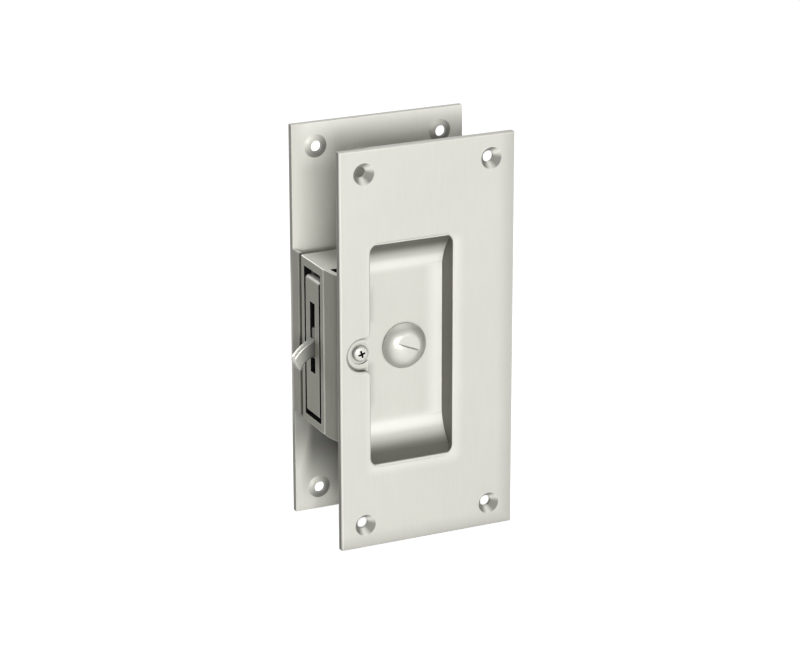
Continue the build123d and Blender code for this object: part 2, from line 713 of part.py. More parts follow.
def make_spring_screws():
    z = pull_leaf_z + leaf_thick
    first = Pos(pull_leaf_x, lock_mid_y, z - leaf_screw_length / 2) * Cylinder(leaf_screw_r, leaf_screw_length)
    first += Pos(pull_leaf_x, lock_mid_y, z + leaf_head / 2) * Cylinder(leaf_head_r, leaf_head)
    x = detent_seat_x - leaf_thick
    across = Rot(0, 90, 0)
    second = Pos(x + leaf_screw_length / 2, lock_mid_y, detent_leaf_z) * (across * Cylinder(leaf_screw_r, leaf_screw_length))
    second += Pos(x - leaf_head / 2, lock_mid_y, detent_leaf_z) * (across * Cylinder(leaf_head_r, leaf_head))
    return Compound(children=[first, second])


def make_stop_pins():
    pins = []
    for angle in stop_angles:
        x, z = around(turn_x, turn_z, stop_pin_orbit, angle)
        pins.append(rod(x, z, stop_pin_r, case_front + 0.6, hook_y1))
    return Compound(children=pins)


seat_front = pocket_depth - plate_thick + seat_depth
seat_rear = door_thick + plate_thick - pocket_depth - seat_depth
half_bar = spindle_side / 2
spindle_y0 = cup_floor - knob_gap - 0.3
spindle_y1 = rear_floor + knob_gap + 0.3
spindle = box_of(turn_x - half_bar, turn_x + half_bar, spindle_y0, spindle_y1, turn_z - half_bar, turn_z + half_bar)

save(make_front_plate(), "front_plate")
save(make_rear_plate(), "rear_plate")
save(make_case(), "lock_case")
save(make_cover(), "case_cover")
save(make_cover_screws(), "cover_screws")
save(fixing_screw(seat_front, 1, pin_start - 2 * web_gap), "front_fixing_screw")
save(fixing_screw(seat_rear, -1, pin_end + 2 * web_gap), "rear_fixing_screw")
save(rod(hook_x, hook_pivot_z, hook_pin_r, pin_start, pin_end), "hook_pivot_pin")
save(rod(pull_x, pull_pivot_z, pull_pin_r, case_front + 1, inner_back), "pull_pivot_pin")
save(make_pull_spring(), "pull_spring")
save(make_detent_spring(), "detent_spring")
save(make_spring_screws(), "spring_screws")
save(make_stop_pins(), "stop_pins")
save(bushing(case_front, inner_front, 1), "front_bushing")
save(bushing(case_back, inner_back, -1), "rear_bushing")
save(make_hook(), "hook_bolt")
save(make_gear(), "drive_gear")
save(spindle, "turn_spindle")
save(make_knob(), "turn_knob")
save(make_release(), "release_button")
save(clip(knob_groove0 + 0.05), "knob_clip")
save(clip(release_groove1 + 0.05), "release_clip")
save(make_pull(), "edge_pull")
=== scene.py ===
import json
import math
import bmesh
import bpy
from mathutils import Matrix, Vector


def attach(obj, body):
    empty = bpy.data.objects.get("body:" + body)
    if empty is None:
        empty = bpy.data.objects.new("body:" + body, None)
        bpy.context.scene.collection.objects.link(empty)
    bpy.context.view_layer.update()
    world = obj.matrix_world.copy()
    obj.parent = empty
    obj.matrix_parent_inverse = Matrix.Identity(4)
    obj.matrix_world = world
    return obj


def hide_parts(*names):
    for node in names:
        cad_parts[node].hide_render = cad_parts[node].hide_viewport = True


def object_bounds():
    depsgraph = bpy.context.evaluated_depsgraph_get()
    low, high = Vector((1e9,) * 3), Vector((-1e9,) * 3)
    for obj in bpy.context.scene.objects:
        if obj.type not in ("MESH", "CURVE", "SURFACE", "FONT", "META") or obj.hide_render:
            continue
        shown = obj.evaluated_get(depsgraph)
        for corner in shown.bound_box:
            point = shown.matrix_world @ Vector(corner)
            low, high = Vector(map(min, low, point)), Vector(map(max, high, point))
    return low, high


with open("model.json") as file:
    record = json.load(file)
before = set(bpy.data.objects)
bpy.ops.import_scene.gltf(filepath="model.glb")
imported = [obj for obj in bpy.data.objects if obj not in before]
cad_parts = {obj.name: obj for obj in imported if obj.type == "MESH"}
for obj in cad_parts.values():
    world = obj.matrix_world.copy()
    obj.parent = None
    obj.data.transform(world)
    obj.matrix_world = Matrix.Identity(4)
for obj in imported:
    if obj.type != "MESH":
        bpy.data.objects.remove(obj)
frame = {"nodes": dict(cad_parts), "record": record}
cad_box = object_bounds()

MM = 0.001
nodes = frame["nodes"]
body_of = {n: b for b, names in frame["record"]["behaviour"]["bodies"].items() for n in names}
slot_of = {s["node"]: s["material_slot"] for s in frame["record"]["subparts"]}

# Places in millimetres: door edge, outer faces, cups, screw holes, pocket screw, turn, hook and roof
EDGE_X = -34.925
FRONT_Y = -3.0
REAR_Y = 43.0
CUP = (EDGE_X + 12.0, EDGE_X + 45.3)
CUP_Z = (-44.8, 40.6)
REAR_CUP_Z = (-31.2, 24.8)
HOLE = (25.4, 67.3)
SCREW = (EDGE_X + 9.0, -0.8)
TURN = (-5.225, -2.8)
HOOK = (EDGE_X + 5.7, -2.8)
ROOF = max(v.co.z for v in nodes["lock_case"].data.vertices) / MM


# Shader nodes

def new_material(name):
    mat = bpy.data.materials.new(name)
    mat.use_nodes = True
    mat.node_tree.nodes.clear()
    return mat, mat.node_tree


# A number or a colour is set on the socket itself, a node's output is linked to it
def feed(tree, socket, value):
    if isinstance(value, (int, float)):
        socket.default_value = value
    elif isinstance(value, tuple):
        socket.default_value = (*value, 1.0)
    else:
        tree.links.new(value, socket)


def math_node(tree, operation, *values):
    node = tree.nodes.new("ShaderNodeMath")
    node.operation = operation
    for socket, value in zip(node.inputs, values):
        feed(tree, socket, value)
    return node.outputs["Value"]


def product(tree, *factors):
    result = factors[0]
    for factor in factors[1:]:
        result = math_node(tree, "MULTIPLY", result, factor)
    return result


def larger(tree, first, second):
    return math_node(tree, "MAXIMUM", first, second)


def less(tree, first, second):
    return math_node(tree, "LESS_THAN", first, second)


def minus(tree, first, second):
    return math_node(tree, "SUBTRACT", first, second)


def absolute(tree, value):
    return math_node(tree, "ABSOLUTE", value)


def hypot(tree, first, second):
    squares = math_node(tree, "ADD", product(tree, first, first), product(tree, second, second))
    return math_node(tree, "SQRT", squares)


def ramp(tree, value, low, high, start=0.0, end=1.0, kind="SMOOTHSTEP"):
    node = tree.nodes.new("ShaderNodeMapRange")
    node.interpolation_type = kind
    for name, number in (("From Min", low), ("From Max", high), ("To Min", start), ("To Max", end)):
        node.inputs[name].default_value = number
    tree.links.new(value, node.inputs["Value"])
    return node.outputs["Result"]


def fading(tree, value, low, high):
    return minus(tree, 1.0, ramp(tree, value, low, high))


# The same for a place along an axis, with a span in millimetres
def rise(tree, value, span):
    return ramp(tree, value, span[0] * MM, span[1] * MM)


def fall(tree, value, span):
    return fading(tree, value, span[0] * MM, span[1] * MM)


def within(tree, value, span):
    return product(tree, less(tree, span[0] * MM, value), less(tree, value, span[1] * MM))


def mix_colour(tree, factor, first, second, blend="MIX"):
    node = tree.nodes.new("ShaderNodeMix")
    node.data_type = "RGBA"
    node.blend_type = blend
    for name, value in (("Factor", factor), ("A", first), ("B", second)):
        feed(tree, node.inputs[name], value)
    return node.outputs["Result"]


def scaled(colour, level, most=0.97):
    return tuple(min(most, c * level) for c in colour)


def axes(tree, vector):
    node = tree.nodes.new("ShaderNodeSeparateXYZ")
    tree.links.new(vector, node.inputs["Vector"])
    return node.outputs["X"], node.outputs["Y"], node.outputs["Z"]


def noise(tree, vector, scale, detail):
    node = tree.nodes.new("ShaderNodeTexNoise")
    node.inputs["Scale"].default_value = scale
    node.inputs["Detail"].default_value = detail
    tree.links.new(vector, node.inputs["Vector"])
    return node.outputs["Fac"]


# Openness of the surroundings, or with inside set the thinness of the piece itself
def occlusion(tree, distance, inside):
    node = tree.nodes.new("ShaderNodeAmbientOcclusion")
    node.samples = 6
    node.inside = inside
    node.only_local = inside
    node.inputs["Distance"].default_value = distance * MM
    return node.outputs["AO"]


# Colours: the nickel, and painted glow, painted sheen, painted bright edges, painted flank shade, painted nook
# shade and painted shadow
NICKEL = (0.76, 0.755, 0.692)
PAINTED_GLOW = (0.96, 0.955, 0.90)
PAINTED_SHEEN = (0.97, 0.965, 0.91)
PAINTED_BRIGHT = (0.97, 0.965, 0.90)
FLANK_SHADE = (0.163, 0.161, 0.139)
CASE_FLANK_SHADE = (0.209, 0.207, 0.172)
KNOB_FLANK_SHADE = (0.46, 0.455, 0.42)
SHADOW = (0.008, 0.008, 0.008)
NOOK_SHADE = (0.7, 0.7, 0.69)
WHITE = (1.0, 1.0, 1.0)

# Painted light and shade on the front plate's face, spans in millimetres
FRONT_FACE_Y = -2.4
GLOW_CORNER = (10.4, CUP_Z[0])
GLOW_WIDTH = (0.0, 4.8)
GLOW_LEFT = (-26.0, -21.0)
GLOW_TOP = (37.0, 42.0)
RIGHT_BORDER = (27.5, 35.5)
LOW_BORDER = (-77.0, -69.0)


# Painted glow beside the cup's right and low edges, painted shade towards the right and low borders
def front_light_paint(tree, shade, colour, x, y, z):
    right = larger(tree, minus(tree, x, GLOW_CORNER[0] * MM), 0.0)
    below = larger(tree, minus(tree, GLOW_CORNER[1] * MM, z), 0.0)
    away = hypot(tree, right, below)
    face = less(tree, y, FRONT_FACE_Y * MM)
    cup_edge_glow = product(tree, fall(tree, away, GLOW_WIDTH), face, rise(tree, x, GLOW_LEFT), fall(tree, z, GLOW_TOP), 0.6)
    shade = mix_colour(tree, cup_edge_glow, shade, PAINTED_GLOW)
    border = larger(tree, rise(tree, x, RIGHT_BORDER), fall(tree, z, LOW_BORDER))
    return mix_colour(tree, product(tree, border, face, 0.85), shade, scaled(colour, 0.76))


# Painted light and shade in the cup and in the screw pocket beside it, spans in millimetres
SCOOP_Y = 12.0
CUP_FLOOR_Y = (6.6, 7.2)
FLOOR_LEFT = (-20.5, -15.8)
FLOOR_LOW = (-27.5, -22.5)
FLOOR_TOP = (18.3, 23.3)
FLOOR_MIDDLE = (6.5, 9.5)
FLOOR_RIGHT = (2.0, 9.0)
POCKET = (-25.525, -1.25)
POCKET_RIM = (5.2, 5.8)
POCKET_LEFT = (-25.5, -22.5)
POCKET_FLOOR_Y = (-0.8, 0.5)


# Painted sheen in the scoops, painted shadow on the floor at the left and painted light at the right, a painted
# shadow crescent in the pocket
def cup_light_paint(tree, shade, facing, x, y, z):
    scoop = product(tree, ramp(tree, facing, 0.89, 0.95), fading(tree, facing, 0.965, 0.999))
    shade = mix_colour(tree, product(tree, scoop, less(tree, y, SCOOP_Y * MM)), shade, PAINTED_SHEEN)
    floor = within(tree, y, CUP_FLOOR_Y)
    painted_shade = product(tree, fall(tree, x, FLOOR_LEFT), rise(tree, z, FLOOR_LOW), fall(tree, z, FLOOR_TOP),
                   rise(tree, absolute(tree, z), FLOOR_MIDDLE), floor, 0.36)
    shade = mix_colour(tree, painted_shade, shade, FLANK_SHADE)
    shade = mix_colour(tree, product(tree, rise(tree, x, FLOOR_RIGHT), floor, 0.9), shade, PAINTED_GLOW)
    away = hypot(tree, minus(tree, x, POCKET[0] * MM), minus(tree, z, POCKET[1] * MM))
    crescent = product(tree, rise(tree, away, POCKET_RIM), fall(tree, x, POCKET_LEFT),
                       within(tree, y, POCKET_FLOOR_Y), 0.75)
    return mix_colour(tree, crescent, shade, FLANK_SHADE)


# Painted shade and light on the rear plate's inner face, spans in millimetres
INNER_FACE_Y = (39.2, 40.1)
BEHIND_EDGE = (-34.5, -27.0)
SHADE_FALL = (-71.0, -47.0)
EDGE_SHADE_FALL = (-62.0, -42.0)
SHADE_TOP_Z = -30.0
SHADE_RIGHT = (4.0, 18.0)
TOP_END = (57.0, 65.0)
LOW_END = (-74.0, -65.0)


# Painted shade below the case, painted light towards both ends
def rear_light_paint(tree, shade, colour, facing, x, y, z):
    face = product(tree, within(tree, y, INNER_FACE_Y), ramp(tree, facing, 0.9, 0.97))
    inwards = rise(tree, x, BEHIND_EDGE)
    inner_under_shade = product(tree, rise(tree, z, SHADE_FALL), inwards, 0.8)
    under_shade = larger(tree, inner_under_shade, product(tree, rise(tree, z, EDGE_SHADE_FALL), 0.6))
    dark = product(tree, under_shade, less(tree, z, SHADE_TOP_Z * MM), fall(tree, x, SHADE_RIGHT), face)
    shade = mix_colour(tree, dark, shade, scaled(colour, 0.06))
    ends = larger(tree, rise(tree, z, TOP_END), fall(tree, z, LOW_END))
    return mix_colour(tree, product(tree, ends, inwards, face, 0.9), shade, PAINTED_BRIGHT)


# Painted highlights on a turned cone around directions given as parts of a turn, on a ring of painted shade
def cone_highlight_colour(tree, turn, colour, peaks, width, bright, dark):
    glow = None
    for peak in peaks:
        gap = absolute(tree, minus(tree, turn, peak))
        lobe = fading(tree, gap, 0.0, width)
        glow = larger(tree, glow, lobe) if glow else lobe
    return mix_colour(tree, glow, scaled(colour, dark), scaled(colour, bright))


# Screw holes: the countersinks of both plates and the raised dimples inside the rear one, in millimetres
SINK_RADIUS = 4.12
DIMPLE_RADIUS = 4.4
DIMPLE_Y = (38.5, 39.9)


def from_hole(tree, value, place):
    return minus(tree, value, product(tree, math_node(tree, "SIGN", value), place * MM))


# Painted highlights and painted shade on the countersinks and on the raised dimples
def hole_colour(tree, shade, colour, facing, x, y, z):
    off_x = from_hole(tree, x, HOLE[0])
    off_z = from_hole(tree, z, HOLE[1])
    away = hypot(tree, off_x, off_z)
    turn = math_node(tree, "MULTIPLY_ADD", math_node(tree, "ARCTAN2", off_z, off_x), 0.5 / math.pi, 0.5)
    sunk = product(tree, less(tree, away, SINK_RADIUS * MM), less(tree, facing, 0.8))
    cone = cone_highlight_colour(tree, turn, colour, peaks=(0.25, 0.6), width=0.125, bright=1.3, dark=0.45)
    shade = mix_colour(tree, sunk, shade, cone)
    raised = product(tree, less(tree, away, DIMPLE_RADIUS * MM), within(tree, y, DIMPLE_Y))
    cone = cone_highlight_colour(tree, turn, colour, peaks=(0.85, -0.15), width=0.375, bright=1.2, dark=0.42)
    return mix_colour(tree, raised, shade, cone)


# Painted shade on flanks of plates and knob: how far the outer lips lie from the middle of the door, in
# millimetres
MIDDLE_Y = 20.0
LIPS = (21.9, 22.6)
UPPER_Z = 2.0


# Faces, outer lips and upper ledges are painted bright, flanks painted darker as shade
def flank_shade_colour(tree, colour, side_shade, facing, up, y, z):
    depth = absolute(tree, minus(tree, y, MIDDLE_Y * MM))
    ledge = product(tree, ramp(tree, up, 0.5, 0.8), less(tree, UPPER_Z * MM, z))
    painted_lit = larger(tree, rise(tree, depth, LIPS), ledge)
    return mix_colour(tree, larger(tree, ramp(tree, facing, 0.72, 0.94), painted_lit), side_shade, colour)


def knob_light_paint(tree, normal, place, colour):
    facing = absolute(tree, normal[1])
    return flank_shade_colour(tree, colour, KNOB_FLANK_SHADE, facing, normal[2], place[1], place[2])


# Webs in the door edge, spans in millimetres
WEB_X = -32.5
WEB_Y = (0.4, 1.2)
RIM_X = -34.5
RIM_Y = (40.0, 42.8)
RIM_LOW = (-46.0, -30.0)
RIM_TOP = (12.0, 30.0)
STEP_Y = (34.4, 35.2)


# Plates: painted light on the webs, lighter than other flanks, a painted highlight on the rear plate's edge
# beside the case, painted shade on its web's step
def plate_light_paint(tree, normal, place, colour):
    x, y, z = place
    up = normal[2]
    facing = absolute(tree, normal[1])
    shade = flank_shade_colour(tree, colour, FLANK_SHADE, facing, up, y, z)
    web = product(tree, less(tree, x, WEB_X * MM), rise(tree, y, WEB_Y), fading(tree, facing, 0.4, 0.7),
                  fading(tree, up, 0.3, 0.6))
    shade = mix_colour(tree, web, shade, scaled(FLANK_SHADE, 1.4))
    rim = product(tree, less(tree, x, RIM_X * MM), rise(tree, y, RIM_Y), fading(tree, facing, 0.4, 0.9), 0.75,
                  rise(tree, z, RIM_LOW), fall(tree, z, RIM_TOP))
    shade = mix_colour(tree, rim, shade, colour)
    step = product(tree, within(tree, y, STEP_Y), ramp(tree, facing, 0.5, 0.8))
    shade = mix_colour(tree, step, shade, scaled(FLANK_SHADE, 0.9))
    shade = front_light_paint(tree, shade, colour, x, y, z)
    shade = cup_light_paint(tree, shade, facing, x, y, z)
    shade = rear_light_paint(tree, shade, colour, facing, x, y, z)
    return hole_colour(tree, shade, colour, facing, x, y, z)


# Painted light and shade on the case and the pull, places and spans in millimetres
ROOF_FADE = (-34.5, -21.0)
ROOF_EDGE_Z = 26.8
CASE_FRONT_Y = 13.5


# Painted shade on the sides, painted shade on the roof growing inwards with a painted highlight on its edge,
# painted shadow in black on the face towards the front plate
def case_light_paint(tree, normal, place, colour):
    x, y, z = place
    up = normal[2]
    aside = absolute(tree, normal[0])
    shade = mix_colour(tree, ramp(tree, aside, 0.5, 0.9), colour, CASE_FLANK_SHADE)
    roof = product(tree, ramp(tree, up, 0.85, 0.97), rise(tree, x, ROOF_FADE), 0.9)
    shade = mix_colour(tree, roof, shade, scaled(colour, 0.5))
    edge = product(tree, ramp(tree, up, 0.25, 0.45), ramp(tree, aside, 0.25, 0.45),
                   less(tree, ROOF_EDGE_Z * MM, z))
    shade = mix_colour(tree, edge, shade, PAINTED_BRIGHT)
    front = product(tree, fading(tree, normal[1], -0.97, -0.85), less(tree, y, CASE_FRONT_Y * MM))
    return mix_colour(tree, front, shade, SHADOW)


# Hook: painted light at the hooked end, painted shade towards the hub and under the end, span in millimetres
HOOK_FADE = (-42.5, -35.0)


def hook_light_paint(tree, normal, place, colour):
    up = normal[2]
    inner = rise(tree, place[0], HOOK_FADE)
    side = mix_colour(tree, inner, scaled(colour, 1.35), scaled(colour, 0.28))
    top = mix_colour(tree, inner, colour, scaled(colour, 0.5))
    shade = mix_colour(tree, ramp(tree, up, 0.3, 0.7), side, top)
    under = product(tree, fading(tree, up, -0.6, -0.1), fading(tree, normal[0], -0.7, -0.2), 0.8)
    return mix_colour(tree, under, shade, scaled(colour, 0.22))


# Grain of the metals: noise range and scales, depth of the painted nook shade, width of rubbed edges with their
# painted highlight and grain in millimetres
NOISE_LOW = 0.25
NOISE_HIGH = 0.75
FINE_SCALE = 1.0
SLOW_SCALE = 26.0
NOOK_DEPTH = 4.0
RIDGE_WIDTH = 0.6
GRAIN_DEPTH = 0.2


# Satin metal: stretched grain, slow tone drift, painted shade in nooks, and rubbed edges lightened as wear and
# as painted highlight
def satin_metal(name, colour, metallic, rough, stretch, grain=0.02, bump=0.02, drift=0.03, shine=0.3,
                light_paint=None):
    mat, tree = new_material(name)
    out = tree.nodes.new("ShaderNodeOutputMaterial")
    bsdf = tree.nodes.new("ShaderNodeBsdfPrincipled")
    tree.links.new(bsdf.outputs["BSDF"], out.inputs["Surface"])
    coord = tree.nodes.new("ShaderNodeTexCoord")
    mapping = tree.nodes.new("ShaderNodeMapping")
    mapping.inputs["Scale"].default_value = stretch
    tree.links.new(coord.outputs["Object"], mapping.inputs["Vector"])
    fine = noise(tree, mapping.outputs["Vector"], FINE_SCALE, 3.0)
    slow = noise(tree, coord.outputs["Object"], SLOW_SCALE, 2.0)
    ratio = drift / grain
    span = 1 + ratio
    mixed = math_node(tree, "MULTIPLY_ADD", slow, ratio, fine)
    tone = ramp(tree, mixed, NOISE_LOW * span, NOISE_HIGH * span, 1 - grain - drift, 1 + grain, "LINEAR")
    shade = colour
    if light_paint:
        shade = light_paint(tree, axes(tree, coord.outputs["Normal"]), axes(tree, coord.outputs["Object"]), colour)
    tint = mix_colour(tree, 1.0, shade, tone, "MULTIPLY")
    painted_shade = mix_colour(tree, ramp(tree, occlusion(tree, NOOK_DEPTH, False), 0.15, 0.80), NOOK_SHADE, WHITE)
    nook_shaded = mix_colour(tree, 1.0, tint, painted_shade, "MULTIPLY")
    ridge = fading(tree, occlusion(tree, RIDGE_WIDTH, True), 0.45, 0.95)
    rubbed_and_highlit = product(tree, ridge, ramp(tree, slow, 0.25, 0.7), 0.38)
    feed(tree, bsdf.inputs["Base Color"], mix_colour(tree, rubbed_and_highlit, nook_shaded, scaled(colour, 1.35, 0.95)))
    feed(tree, bsdf.inputs["Roughness"], ramp(tree, fine, 0.3, 0.7, rough - 0.04, rough + 0.05, "LINEAR"))
    dent = tree.nodes.new("ShaderNodeBump")
    dent.inputs["Strength"].default_value = bump
    dent.inputs["Distance"].default_value = GRAIN_DEPTH * MM
    tree.links.new(fine, dent.inputs["Height"])
    tree.links.new(dent.outputs["Normal"], bsdf.inputs["Normal"])
    bsdf.inputs["Metallic"].default_value = metallic
    bsdf.inputs["Specular IOR Level"].default_value = shine
    return mat


# Materials: colour, metallic, roughness and stretch of the grain
EVEN = (400.0, 400.0, 400.0)
satin = satin_metal("satin_nickel", NICKEL, 0.08, 0.52, (900.0, 900.0, 90.0), shine=0.2, light_paint=plate_light_paint)
satin_knob = satin_metal("satin_nickel_knob", NICKEL, 0.25, 0.34, (300.0, 300.0, 300.0), light_paint=knob_light_paint)
satin_case = satin_metal("satin_nickel_case", NICKEL, 0.12, 0.48, (600.0, 600.0, 90.0), light_paint=case_light_paint)
# Near-black painted shade for gaps, window walls, slots and screw crosses
recess = satin_metal("recess_shade", (0.006, 0.006, 0.006), 0.0, 0.8, EVEN, drift=0.1, shine=0.05)
hook_steel = satin_metal("nickel_steel", (0.38, 0.378, 0.345), 0.40, 0.40, (120.0, 700.0, 700.0),
                         grain=0.01, bump=0.008, light_paint=hook_light_paint)
finish = {
    "satin_nickel": satin,
    "nickel_steel": hook_steel,
    "bright_steel": satin_metal("bright_steel", (0.72, 0.72, 0.70), 0.85, 0.28, EVEN),
    "zinc_steel": satin_metal("zinc_steel", (0.60, 0.61, 0.62), 0.85, 0.40, (500.0, 500.0, 120.0), drift=0.06),
    "spring_steel": satin_metal("spring_steel", (0.36, 0.36, 0.38), 0.9, 0.35, (200.0, 600.0, 200.0)),
    "bronze": satin_metal("bearing_bronze", (0.62, 0.44, 0.22), 0.9, 0.40, EVEN, drift=0.06)}


# Pieces

def link_piece(name, mesh):
    obj = bpy.data.objects.new(name, mesh)
    bpy.context.scene.collection.objects.link(obj)
    return obj


def finish_piece(obj, name, mats):
    index = [face.material_index for face in obj.data.polygons]
    obj.data.materials.clear()
    for mat in mats:
        obj.data.materials.append(mat)
    obj.data.polygons.foreach_set("material_index", index)
    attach(obj, body_of[name])
    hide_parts(name)


# Normals that keep the large faces flat
def even_normals(obj, keep_sharp):
    weigh = obj.modifiers.new("normals", "WEIGHTED_NORMAL")
    weigh.keep_sharp = keep_sharp
    weigh.weight = 80


# Bevel by edge weight
def round_edges(obj, width, segments):
    bevel = obj.modifiers.new("edge", "BEVEL")
    bevel.width = width * MM
    bevel.segments = segments
    bevel.limit_method = "WEIGHT"
    bevel.use_clamp_overlap = True
    bevel.miter_outer = "MITER_ARC"
    even_normals(obj, False)


def smooth_mesh(mesh, crease):
    mesh.shade_smooth()
    mesh.set_sharp_from_angle(angle=math.radians(crease))


def closed_mesh(bm, name):
    bmesh.ops.recalc_face_normals(bm, faces=bm.faces)
    mesh = bpy.data.meshes.new(name)
    bm.to_mesh(mesh)
    bm.free()
    return mesh


def edge_middle(edge):
    return (edge.verts[0].co + edge.verts[1].co) / (2 * MM)


# Joining distance in metres, angles in degrees, rounding of leading edges in millimetres
SAME_POINT = 2e-6
FLAT_ANGLE = 0.6
SHARP_ANGLE = 27.0
LEAD_ANGLE = 60.0
LEAD_ROUND = 0.4


# A detailed copy of a node with joined facets and rounded edges. Width is the largest rounding and share gives
# a sharp edge's part of it from its middle. Dark picks faces for the recess material, which paints shade, lead
# picks outer edges that are rounded first, and convex splits hollow faces.
def refine(name, width, segments, share, mat, dark=None, convex=False, lead=None):
    mesh = nodes[name].data.copy()
    bm = bmesh.new()
    bm.from_mesh(mesh)
    bmesh.ops.remove_doubles(bm, verts=bm.verts, dist=SAME_POINT)
    bmesh.ops.dissolve_limit(bm, angle_limit=math.radians(FLAT_ANGLE), verts=bm.verts, edges=bm.edges)
    if convex:
        bmesh.ops.connect_verts_concave(bm, faces=bm.faces)
    if lead:
        steep = [e for e in bm.edges if e.calc_face_angle(0.0) > math.radians(LEAD_ANGLE)]
        outer = [e for e in steep if lead(edge_middle(e))]
        bmesh.ops.bevel(bm, geom=outer, offset=LEAD_ROUND * MM, segments=3, profile=0.5, affect="EDGES",
                        clamp_overlap=True)
    weight = bm.edges.layers.float.new("bevel_weight_edge")
    for edge in bm.edges:
        if len(edge.link_faces) == 2 and edge.calc_face_angle(0.0) > math.radians(SHARP_ANGLE):
            edge[weight] = share(edge_middle(edge))
    for face in bm.faces:
        face.material_index = 1 if dark and dark(face.calc_center_median() / MM, face.normal) else 0
    bm.to_mesh(mesh)
    bm.free()
    smooth_mesh(mesh, SHARP_ANGLE)
    obj = link_piece(name + "_finish", mesh)
    round_edges(obj, width, segments)
    finish_piece(obj, name, [mat, recess] if dark else [mat])


# Turned solid about an axis along Y: profile of radius and depth, both in millimetres
def turned_mesh(name, centre, profile, steps, shift=None):
    bm = bmesh.new()
    rings = []
    for radius, y in profile:
        if radius == 0:
            rings.append([bm.verts.new((centre[0] * MM, y * MM, centre[1] * MM))])
            continue
        ring = []
        for k in range(steps):
            turn = 2 * math.pi * k / steps
            u, w = radius * math.cos(turn), radius * math.sin(turn)
            deep = shift(u, w, y) if shift else y
            ring.append(bm.verts.new(((centre[0] + u) * MM, deep * MM, (centre[1] + w) * MM)))
        rings.append(ring)
    for first, second in zip(rings, rings[1:]):
        for k in range(steps):
            j = (k + 1) % steps
            near = [first[k % len(first)], first[j % len(first)]]
            loop = near + [second[j % len(second)], second[k % len(second)]]
            bm.faces.new(list(dict.fromkeys(loop)))
    return closed_mesh(bm, name)


# A box along Y that narrows by the draft on every side
def block_mesh(name, centre, half_x, half_z, y0, y1, draft=0.0):
    bm = bmesh.new()
    verts = []
    for y, taper in ((y0, 0.0), (y1, draft)):
        for side, level in ((-1, -1), (1, -1), (1, 1), (-1, 1)):
            x = centre[0] + side * (half_x - taper)
            z = centre[1] + level * (half_z - taper)
            verts.append(bm.verts.new(Vector((x, y, z)) * MM))
    for quad in ((0, 1, 2, 3), (7, 6, 5, 4), (0, 4, 5, 1), (1, 5, 6, 2), (2, 6, 7, 3), (3, 7, 4, 0)):
        bm.faces.new([verts[i] for i in quad])
    return closed_mesh(bm, name)


# The mesh joined with or less the other meshes, whose own material can come along
def combined_mesh(mesh, others, operation="DIFFERENCE", bring_material=False):
    work = link_piece("work", mesh)
    temps = []
    for other in others:
        temp = link_piece("cutter", other)
        temps.append(temp)
        cut = work.modifiers.new("cut", "BOOLEAN")
        cut.operation = operation
        cut.solver = "EXACT"
        cut.object = temp
        if bring_material:
            cut.material_mode = "TRANSFER"
    shape = work.evaluated_get(bpy.context.evaluated_depsgraph_get())
    result = bpy.data.meshes.new_from_object(shape)
    for temp in temps + [work]:
        bpy.data.objects.remove(temp)
    return result


def smooth(low, high, value):
    t = min(1.0, max(0.0, (value - low) / (high - low)))
    return t * t * (3 - 2 * t)


# Plates: soft lip around the cup, fine breaks on every other edge
LIP = 0.28
LIP_SEGMENTS = 3
LIP_REACH = 1.4
LIP_DEPTH = 0.75
RIM_REACH = 0.1
PLAIN_SHARE = 0.6


def plate_share(outer, way, cup_z):
    low, high = cup_z

    def share(mid):
        beside = CUP[0] - LIP_REACH < mid.x < CUP[1] + LIP_REACH
        near = beside and low - LIP_REACH < mid.z < high + LIP_REACH
        side_rim = mid.x < CUP[0] + RIM_REACH or mid.x > CUP[1] - RIM_REACH
        rim = side_rim or mid.z < low + RIM_REACH or mid.z > high - RIM_REACH
        return 1.0 if near and rim and (mid.y - outer) * way < LIP_DEPTH else PLAIN_SHARE
    return share


refine("front_plate", LIP, LIP_SEGMENTS, plate_share(FRONT_Y, 1, CUP_Z), satin)
refine("rear_plate", LIP, LIP_SEGMENTS, plate_share(REAR_Y, -1, REAR_CUP_Z), satin)


# Case and pull: walls in the gap between them painted near-black as shade, in millimetres
CASE_ROUND = 0.25
CASE_SEGMENTS = 2
SILL_SHARE = 0.25
PULL_SHARE = 0.3
FRAME_Y = (14.0, 31.0)
WINDOW_Y = (14.9, 29.9)
WINDOW_Z = (-32.5, 25.7)
WALL_DEPTH = 3.2
SILL_DEPTH = 3.3
PULL_TOP_Z = 15.0
STEEP = 0.7
CLOSE = 0.05


def window_wall(mid, normal):
    if abs(normal.x) >= 0.5 or mid.x >= EDGE_X + WALL_DEPTH:
        return False
    return WINDOW_Y[0] < mid.y < WINDOW_Y[1] and WINDOW_Z[0] < mid.z < WINDOW_Z[1]


def pull_wall(mid, normal):
    level = normal.z < -STEEP or (abs(normal.z) > STEEP and mid.z < PULL_TOP_Z)
    return level or abs(normal.y) > STEEP or normal.x > STEEP


def case_rim(mid):
    return mid.z > ROOF - CLOSE or (mid.x < EDGE_X + CLOSE and not FRAME_Y[0] < mid.y < FRAME_Y[1])


def case_share(mid):
    return SILL_SHARE if mid.x < EDGE_X + SILL_DEPTH and WINDOW_Y[0] < mid.y < WINDOW_Y[1] else 1.0


refine("lock_case", CASE_ROUND, CASE_SEGMENTS, case_share, satin_case, dark=window_wall, lead=case_rim)
refine("edge_pull", CASE_ROUND, CASE_SEGMENTS, lambda mid: PULL_SHARE, satin_case, dark=pull_wall, convex=True)


